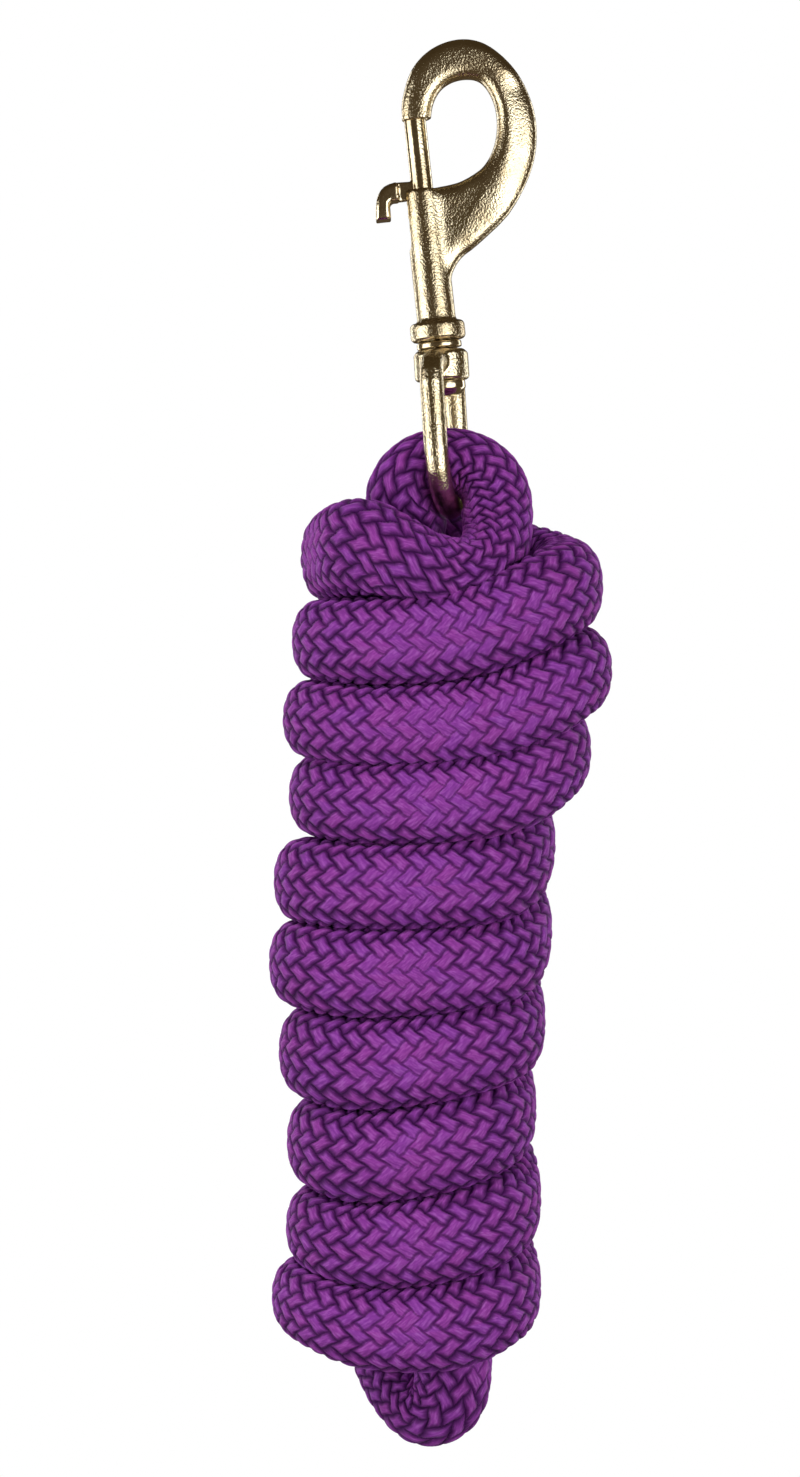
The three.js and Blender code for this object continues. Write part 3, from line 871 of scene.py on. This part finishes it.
def waxed_thread():
    """Dark waxed thread, twisted."""
    looks = bpy.context.scene.rope_looks
    material, nodes, shader = new_material("Waxed thread")
    place = nodes.add("ShaderNodeTexCoord").outputs["Object"]
    fuzz = nodes.noise(place, 3000.0, 3.0)
    nodes.give(shader["Base Color"], nodes.mix(fuzz, tinted(looks.thread, 0.5), tinted(looks.thread, 1.5)))
    nodes.give(shader["Roughness"], nodes.range(fuzz, 0.3, 0.7, 0.38, 0.62))
    nodes.give(shader["Normal"], nodes.bump(fuzz, 0.5, 0.0002))
    return material


def fused_yarn():
    """Yarn melted to a hard, glossy, dark end with runs and dimples."""
    material, nodes, shader = new_material("Fused yarn")
    place = nodes.add("ShaderNodeTexCoord").outputs["Object"]
    lumps = nodes.noise(place, 420.0, 4.0)
    nodes.give(shader["Base Color"], nodes.mix(lumps, (0.02, 0.003, 0.03, 1), (0.16, 0.035, 0.2, 1)))
    nodes.give(shader["Roughness"], nodes.range(lumps, 0.3, 0.7, 0.2, 0.5))
    nodes.give(shader["Normal"], nodes.bump(lumps, 0.8, 0.0008))
    return material


# Operators, one for each piece or group of like pieces


class LEADROPE_OT_camera(bpy.types.Operator):
    """Place the camera level, square to the hank's front"""

    bl_idname = "leadrope.camera"
    bl_label = "Camera"

    def execute(self, context):
        looks = context.scene.studio_looks
        data = bpy.data.cameras.new("Camera")
        data.lens = looks.lens
        data.sensor_width = 36
        data.clip_end = 20
        camera = bpy.data.objects.new("Camera", data)
        context.scene.collection.objects.link(camera)
        distance = looks.view_height * looks.lens / data.sensor_width
        camera.location = (VIEW_X, -distance, VIEW_Z)
        camera.rotation_euler = (math.pi / 2, 0, 0)
        context.scene.camera = camera
        return {"FINISHED"}


def row_near(place, start=0):
    """The row of the route that is nearest to a place, from a starting row on."""
    away = np.linalg.norm(ROUTE[start:, :3] - np.array(place), axis=1)
    return start + int(np.argmin(away))


class LEADROPE_OT_rope(bpy.types.Operator):
    """Lay the rope along its route: its filler, then the braided sleeve, in stretches"""

    bl_idname = "leadrope.rope"
    bl_label = "Braided rope"

    def execute(self, context):
        relief = context.scene.rope_looks.relief
        last = len(ROUTE) - 1
        back = []
        for wrap in range(0, len(WRAPS), 2):
            left, right = WRAPS[wrap][2], WRAPS[wrap + 1][3]
            back.append(row_near((-0.005, WRAP_DEPTH, left + EARLY_FALL * (right - left))))
        bight = row_near(BIGHT[0][:3])
        inside = row_near(CORE[0], bight)
        stretches = [
            ("braid_eye_loop", 0, back[0], FINE),
            ("braid_wraps_2_3", back[0], back[1], FINE),
            ("braid_wraps_4_5", back[1], back[2], FINE),
            ("braid_wraps_6_7", back[2], back[3], FINE),
            ("braid_wraps_8_9", back[3], back[4], FINE),
            ("braid_wrap_10", back[4], bight, FINE),
            ("braid_bottom_turn", bight, inside, FINE),
            ("braid_inner_runs", inside, last, COARSE),
        ]
        yarn = braided_yarn()
        for name, start, end, steps in stretches:
            bm = sleeve_bmesh(start, end, FINE // steps, YARNS * steps, relief)
            finish_mesh(bm, name, yarn, "rope")
        bm = sleeve_bmesh(0, last, 5, 16, 0.0, shrink=FILLER_GAP)
        solids = ["rope_eye_loop", "rope_hank", "rope_bottom_bight"]
        filler = finish_mesh(bm, "rope_filler", filler_yarn(), "rope", solids)
        return {"FINISHED"}


class LEADROPE_OT_rope_ends(bpy.types.Operator):
    """Wind the thread round the spliced end, and fuse the tail's tip"""

    bl_idname = "leadrope.rope_ends"
    bl_label = "Rope ends"

    def execute(self, context):
        wire = (WHIPPING["top"] - WHIPPING["bottom"]) / WHIPPING["turns"] / 2
        radius, bottom = WHIPPING["radius"] - wire, WHIPPING["bottom"] + wire
        bm = wound(wire * 1.06, 10, radius, bottom, 2 * wire, WHIPPING["turns"] - 1, 40)
        bmesh.ops.translate(bm, verts=bm.verts, vec=(SPLICED_END[0], SPLICED_END[1], 0))
        thread = waxed_thread()
        finish_mesh(bm, "whipping_thread", thread, "rope", ["rope_end_whipping"])

        radius, top, bottom = (TAIL_TIP[key] for key in ("radius", "top", "bottom"))
        profile = [(0, top), (radius, top), (radius, bottom + TAIL_TIP["round_high"])]
        for i in range(1, 6):
            angle = math.pi / 2 * i / 6
            inward = TAIL_TIP["round_in"] * (1 - math.cos(angle))
            above = TAIL_TIP["round_high"] * (1 - math.sin(angle))
            profile.append((radius - inward, bottom + above))
        profile.append((0, bottom + TAIL_TIP["sunk"]))
        bm = turned(profile, 40)
        for vert in bm.verts:
            swirl = math.sin(7 * math.atan2(vert.co.y, vert.co.x) + vert.co.z * 900)
            outward = min(1, math.hypot(vert.co.x, vert.co.y) / radius)
            wider = 1 + TAIL_TIP["runs"] * swirl * outward / radius
            vert.co.x *= wider
            vert.co.y *= wider
        bmesh.ops.translate(bm, verts=bm.verts, vec=(TAIL_TIP["x"], 0, 0))
        finish_mesh(bm, "fused_tail", fused_yarn(), "rope", ["rope_tail_tip"])
        return {"FINISHED"}


def rounded(place):
    """How much a place is rounded off, from 0 to 1: most where the web runs into the barrel and
    on the closed limb, a little round the bend, and not at all at the barrel and flange."""
    x, _, z = place
    if x < 0.010 and z < -0.0195:
        beside = fade(abs(x - 0.0052), 0.0036, 0.0020)
        return min(fade(z, -0.0205, -0.0235), fade(z, -0.043, -0.036), beside)
    if x > 0.012:
        return max(0.3, 0.6 * fade(z, 0.001, -0.006)) * fade(z, -0.029, -0.021)
    return 0.3 * fade(z, -0.0055, -0.002)


def shape_hook(bm):
    """Slope both faces of the closed limb back to its outer edge, then round the casting off."""
    limb = [vert for vert in bm.verts if vert.co.x > 0.011 and -0.029 < vert.co.z < 0.004]
    edge = {}
    for vert in limb:
        level = round(vert.co.z / LEVEL)
        edge[level] = max(edge.get(level, 0), vert.co.x)
    levels = sorted(edge)
    edges = [edge[level] for level in levels]
    for vert in limb:
        outer = np.interp(vert.co.z / LEVEL, levels, edges)
        share = fade(vert.co.x, outer - SLOPE_WIDTH, outer)
        share *= fade(vert.co.z, 0.0005, -0.0035) * fade(vert.co.z, -0.028, -0.021)
        vert.co.y *= 1 - SLOPE * share
    shares = [(vert, rounded(vert.co)) for vert in bm.verts]
    for done in np.linspace(0.01, 0.99, 48):
        left = [vert for vert, share in shares if share > done]
        axes = {"use_axis_x": True, "use_axis_y": True, "use_axis_z": True}
        bmesh.ops.smooth_vert(bm, verts=left, factor=0.5, **axes)


class LEADROPE_OT_hook(bpy.types.Operator):
    """Cast the hook, with its web and barrel"""

    bl_idname = "leadrope.hook"
    bl_label = "Hook"

    def execute(self, context):
        looks = context.scene.snap_looks
        cast_skin(
            "hook_body",
            looks.skin,
            looks.softening,
            "cast_hook",
            cast_brass(),
            "snap",
            shape_hook,
        )
        return {"FINISHED"}


class LEADROPE_OT_bolt(bpy.types.Operator):
    """Make the sliding bolt and its thumb lever"""

    bl_idname = "leadrope.bolt"
    bl_label = "Bolt"

    def execute(self, context):
        looks = context.scene.snap_looks
        brass = plated_brass("Drawn brass plate", 0.1, 0.24, 1900.0, 0.00003)
        cast_skin("bolt", looks.skin * 0.7, 4, "sliding_bolt", brass, "bolt")
        return {"FINISHED"}


class LEADROPE_OT_spring(bpy.types.Operator):
    """Wind the spring inside the barrel"""

    bl_idname = "leadrope.spring"
    bl_label = "Spring"

    def execute(self, context):
        pitch = (SPRING["top"] - SPRING["bottom"]) / SPRING["turns"]
        wire, radius, turns = SPRING["wire"], SPRING["coil"], SPRING["turns"]
        bm = wound(wire, 8, radius, SPRING["bottom"], pitch, turns, 28)
        bmesh.ops.transform(bm, matrix=SNAP, verts=bm.verts)
        spring = finish_mesh(bm, "coil_spring", spring_wire(), "snap", ["bolt_spring"])
        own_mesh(spring)
        return {"FINISHED"}


class LEADROPE_OT_swivel(bpy.types.Operator):
    """Turn the swivel's stud and washer, and forge its eye"""

    bl_idname = "leadrope.swivel"
    bl_label = "Swivel"

    def execute(self, context):
        looks = context.scene.snap_looks
        brass = plated_brass("Turned brass plate", 0.1, 0.26, 1700.0, 0.00003)
        profile = [
            (0, STUD["top"]),
            (STUD["radius"], STUD["top"]),
            (STUD["radius"], STUD["head_top"]),
            (STUD["head"], STUD["head_top"]),
            (STUD["head"], STUD["head_top"] - 0.0016),
            (STUD["head"] - 0.0011, STUD["head_bottom"] + 0.0004),
            (STUD["head"] - 0.0024, STUD["head_bottom"]),
            (0, STUD["head_bottom"]),
        ]
        bm = turned(profile, 64, 0.00025)
        bmesh.ops.transform(bm, matrix=SNAP, verts=bm.verts)
        finish_mesh(bm, "turned_stud", brass, "snap", ["swivel_stud"], math.radians(40))
        inner, outer = WASHER["inner"], WASHER["radius"]
        top, bottom = WASHER["top"], WASHER["bottom"]
        bm = turned([(inner, top), (outer, top), (outer, bottom), (inner, bottom)], 64, 0.0003)
        bmesh.ops.transform(bm, matrix=SNAP, verts=bm.verts)
        finish_mesh(bm, "turned_washer", brass, "snap", ["swivel_washer"], math.radians(40))
        fine = looks.skin * 0.85
        cast_skin("swivel_eye", fine, 5, "forged_eye", cast_brass(), "swivel")
        return {"FINISHED"}


def white_room(scene):
    """White behind the rope, dim all round for its light, and darker brown in the metal."""
    world = bpy.data.worlds.new("Studio")
    world.use_nodes = True
    scene.world = world
    nodes = Nodes(world.node_tree)
    path = nodes.add("ShaderNodeLightPath").outputs
    place = nodes.add("ShaderNodeTexCoord").outputs["Generated"]
    height = nodes.add("ShaderNodeSeparateXYZ", {0: place}).outputs[2]
    glow = nodes.range(height, -0.6, 0.9, 0.0, 1.0)
    room = nodes.mix(glow, (0.095, 0.07, 0.042, 1), (0.05, 0.034, 0.016, 1))
    fill = nodes.mix(path["Is Glossy Ray"], (0.12, 0.12, 0.13, 1), room)
    seen = nodes.mix(path["Is Camera Ray"], fill, (1.0, 1.0, 1.0, 1))
    nodes.give(world.node_tree.nodes["Background"].inputs[0], seen)


def lay_floor(scene, colour):
    """A pale round floor, far below, that glows enough to look pale and lights nothing."""
    bm = bmesh.new()
    bmesh.ops.create_circle(bm, cap_ends=True, segments=96, radius=4.0)
    bmesh.ops.translate(bm, verts=bm.verts, vec=(0, 0, -1.9))
    mesh = bpy.data.meshes.new("floor")
    bm.to_mesh(mesh)
    bm.free()
    floor = bpy.data.objects.new("floor", mesh)
    scene.collection.objects.link(floor)
    material, _, shader = new_material("Pale floor")
    shader["Base Color"].default_value = (*colour, 1)
    shader["Roughness"].default_value = 0.9
    shader["Emission Color"].default_value = (*colour, 1)
    shader["Emission Strength"].default_value = 0.75
    mesh.materials.append(material)
    floor.visible_glossy = False
    floor.visible_diffuse = False


class LEADROPE_OT_stage(bpy.types.Operator):
    """Set up the white room, the floor and the soft lights"""

    bl_idname = "leadrope.stage"
    bl_label = "Studio"

    def execute(self, context):
        scene = context.scene
        scene.view_settings.view_transform = "Standard"
        white_room(scene)
        lay_floor(scene, scene.studio_looks.floor)
        for name, place, width, tall, power, mirrored in SOFTBOXES:
            data = bpy.data.lights.new(name, "AREA")
            data.shape = "RECTANGLE"
            data.size, data.size_y = width, tall
            data.energy = power
            light = bpy.data.objects.new(name, data)
            light.location = Vector((VIEW_X, 0, LIT_Z)) + Vector(place)
            light.rotation_mode = "QUATERNION"
            light.rotation_quaternion = Vector(place).to_track_quat("Z", "Y")
            light.visible_camera = False
            light.visible_glossy = mirrored
            scene.collection.objects.link(light)
        return {"FINISHED"}


class LEADROPE_PT_panel(bpy.types.Panel):
    """Buttons for each group of pieces, and the sizes and colours they use"""

    bl_idname = "LEADROPE_PT_panel"
    bl_label = "Lead rope"
    bl_space_type = "VIEW_3D"
    bl_region_type = "UI"
    bl_category = "Lead rope"

    def draw(self, context):
        for settings in ("rope_looks", "snap_looks", "studio_looks"):
            looks = getattr(context.scene, settings)
            for key in looks.bl_rna.properties.keys():
                if key not in ("rna_type", "name"):
                    self.layout.prop(looks, key)
        for operator in OPERATORS:
            self.layout.operator(operator.bl_idname)


OPERATORS = (
    LEADROPE_OT_camera,
    LEADROPE_OT_rope,
    LEADROPE_OT_rope_ends,
    LEADROPE_OT_hook,
    LEADROPE_OT_bolt,
    LEADROPE_OT_spring,
    LEADROPE_OT_swivel,
    LEADROPE_OT_stage,
)
SETTINGS = (RopeLooks, SnapLooks, StudioLooks)


def register():
    for cls in (*SETTINGS, *OPERATORS, LEADROPE_PT_panel):
        bpy.utils.register_class(cls)
    bpy.types.Scene.rope_looks = PointerProperty(type=RopeLooks)
    bpy.types.Scene.snap_looks = PointerProperty(type=SnapLooks)
    bpy.types.Scene.studio_looks = PointerProperty(type=StudioLooks)


def unregister():
    del bpy.types.Scene.studio_looks
    del bpy.types.Scene.snap_looks
    del bpy.types.Scene.rope_looks
    for cls in reversed((*SETTINGS, *OPERATORS, LEADROPE_PT_panel)):
        bpy.utils.unregister_class(cls)


def main():
    register()
    for operator in OPERATORS:
        section, name = operator.bl_idname.split(".")
        getattr(getattr(bpy.ops, section), name)()


if __name__ == "__main__":
    main()
